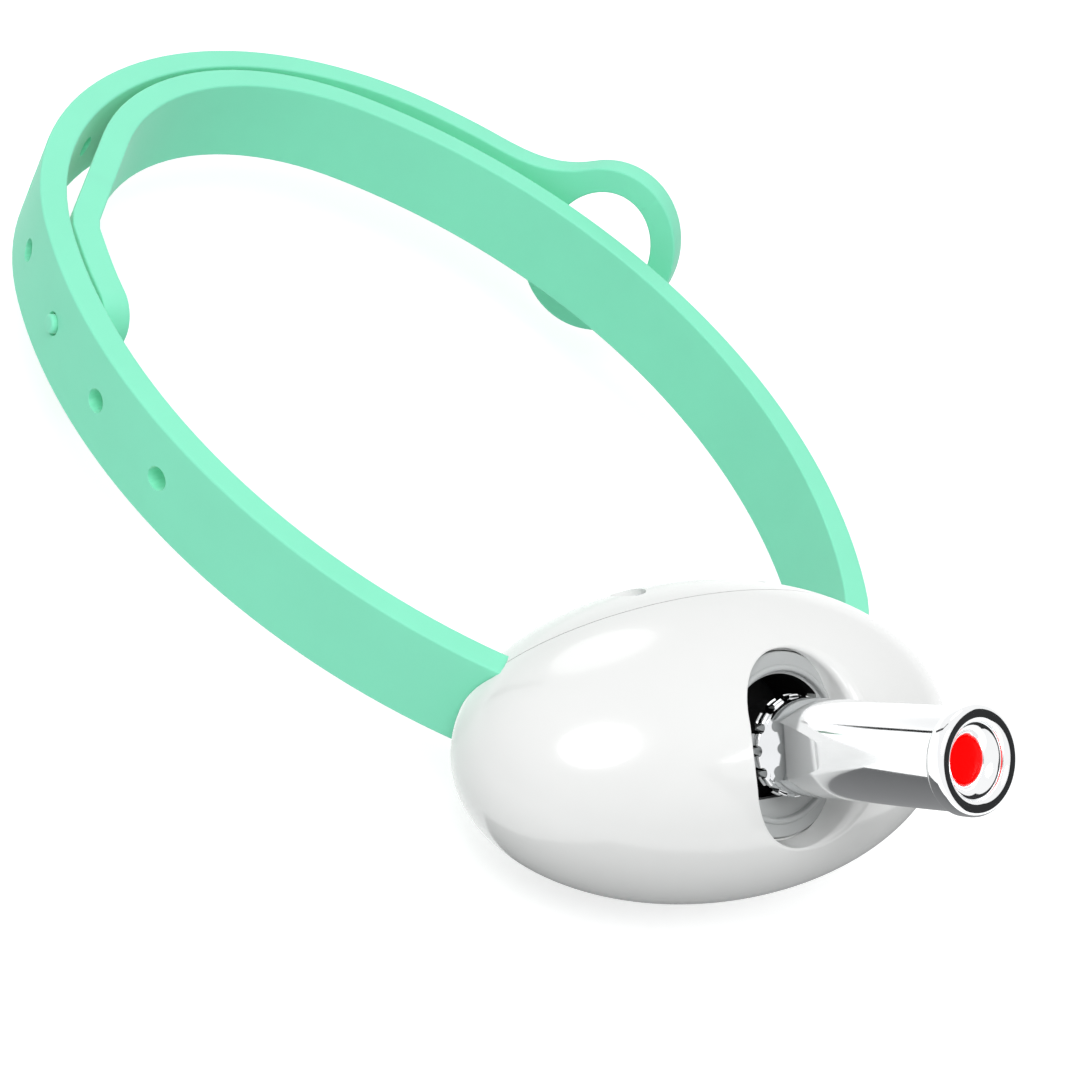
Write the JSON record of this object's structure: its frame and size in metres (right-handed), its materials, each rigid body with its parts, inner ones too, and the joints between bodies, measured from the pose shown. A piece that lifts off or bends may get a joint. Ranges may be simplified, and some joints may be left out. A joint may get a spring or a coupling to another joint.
{
  "type": "cat laser collar",
  "caption": "Mint silicone cat collar with a white egg-shaped housing whose motor turret swings a small laser barrel.",
  "frame": {"origin": "middle of the neck loop, at half the strap's width", "axes": "+Z along the neck axis, on the side that the laser barrel leans to; the housing is on the -Y side; +X along the housing, towards the peg strap's root"},
  "size_m": [0.0817, 0.1242, 0.0431],
  "materials": {
    "abs_gloss": "gloss",
    "steel": "satin",
    "silicone_mint": "satin",
    "cell_wrap": "satin",
    "board_green": "satin",
    "black_plastic": "satin",
    "grey_plastic": "satin",
    "acetal": "satin",
    "chrome": "gloss",
    "lens_red": "gloss",
    "brass": "satin"
  },
  "bodies": {
    "housing": {"front_shell": "abs_gloss", "rear_cover": "abs_gloss", "cover_screws": "steel", "strap_pins": "steel", "hole_strap": "silicone_mint", "peg_strap": "silicone_mint", "battery_cell": "cell_wrap", "circuit_board": "board_green", "charging_socket": "steel", "tact_switch": "black_plastic", "gearbox_chassis": "black_plastic", "turret_retainer": "grey_plastic", "gear_axle": "steel", "drive_motor": "steel"},
    "turret": {"turret_disc": "grey_plastic", "turret_shaft": "steel", "turret_gear": "acetal", "tilt_pin": "steel", "tilt_washers": "black_plastic"},
    "barrel": {"barrel_root": "chrome", "scalloped_collar": "chrome", "laser_barrel": "chrome", "barrel_rim": "chrome", "reflector_cup": "chrome", "red_lens": "lens_red", "laser_module": "brass"},
    "idler": {"reduction_gear": "acetal"},
    "pinion": {"motor_pinion": "acetal"},
    "button": {"power_button": "grey_plastic"},
    "strap_tip": {"peg_strap_tip": "silicone_mint", "strap_peg": "silicone_mint"}
  },
  "joints": [
    {"name": "turret_swing", "type": "hinge", "parent": "housing", "child": "turret", "pos_m": [0, -0.05, 0], "axis": [0, -0.6756, 0.7373], "range_deg": [-35, 35]},
    {"name": "barrel_tilt", "type": "hinge", "parent": "turret", "child": "barrel", "pos_m": [0, -0.05419, 0.00457], "axis": [1, 0, 0], "range_deg": [-18, 4]},
    {"name": "idler_spin", "type": "hinge", "parent": "housing", "child": "idler", "pos_m": [0.0095, -0.05, 0], "axis": [0, -0.6756, 0.7373], "range_deg": [-98, 98]},
    {"name": "pinion_spin", "type": "hinge", "parent": "housing", "child": "pinion", "pos_m": [0.01486, -0.05332, -0.00304], "axis": [0, -0.6756, 0.7373], "range_deg": [-245, 245]},
    {"name": "button_press", "type": "slide", "parent": "housing", "child": "button", "axis": [0, -1, 0], "range_m": [0, 0.0005], "stiffness_N_per_m": 800},
    {"name": "tip_flex", "type": "hinge", "parent": "housing", "child": "strap_tip", "pos_m": [-0.0444, 0.02384, 0], "axis": [0, 0, 1], "range_deg": [0, 12], "stiffness_Nm_per_rad": 0.02}
  ],
  "couplings": [
    {"joint": "idler_spin", "follows": "turret_swing", "ratio": -2.8},
    {"joint": "pinion_spin", "follows": "turret_swing", "ratio": 7}
  ]
}
